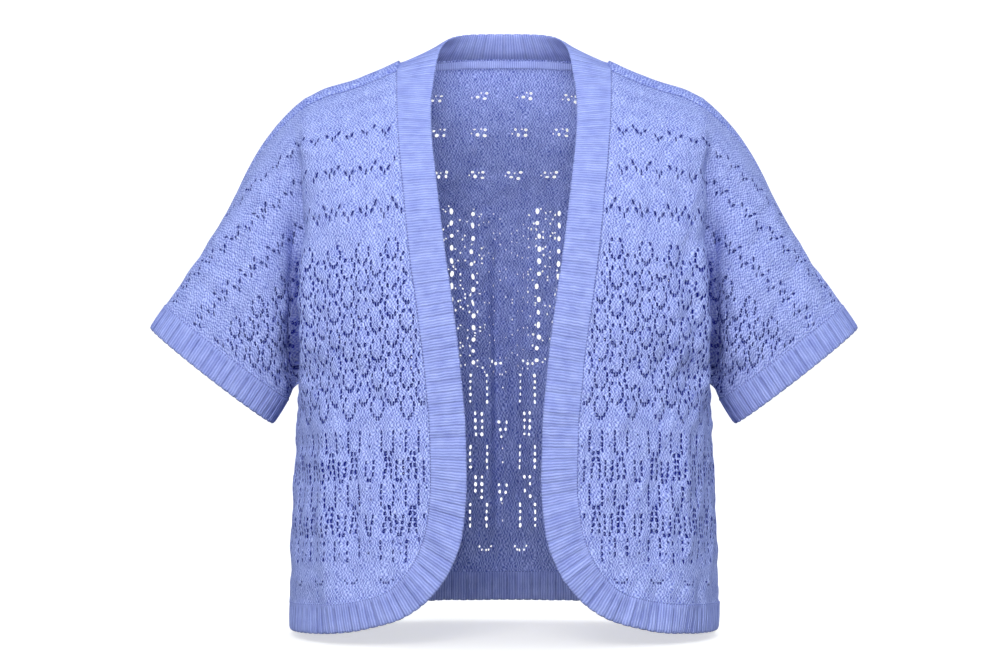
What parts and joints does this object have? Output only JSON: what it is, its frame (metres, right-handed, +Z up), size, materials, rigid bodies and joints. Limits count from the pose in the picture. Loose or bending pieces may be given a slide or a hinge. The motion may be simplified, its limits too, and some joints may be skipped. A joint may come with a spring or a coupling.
{
  "type": "short-sleeve open-front knitted cardigan",
  "caption": "Hollow short-sleeve open-front cardigan in lace knit, with a ribbed band round the neck, fronts and hem, and ribbed cuffs.",
  "frame": {"origin": "midway between the two points where the shoulder seams meet the neck, where the wearer's shoulders hold it up", "axes": "+Z up, +X to the wearer's left, -Y out of the garment's front"},
  "size_m": [0.7094, 0.2704, 0.6053],
  "materials": {
    "back_knit": "matte",
    "front_knit": "matte",
    "band_rib": "matte",
    "hem_rib": "matte",
    "cuff_rib": "matte",
    "neck_tape": "matte"
  },
  "bodies": {
    "root": {"back": "back_knit", "front_left": "front_knit", "front_right": "front_knit", "band_left": "band_rib", "band_right": "band_rib", "back_hem": "hem_rib", "cuff_left": "cuff_rib", "cuff_right": "cuff_rib", "neck_tape": "neck_tape"}
  },
  "joints": []
}
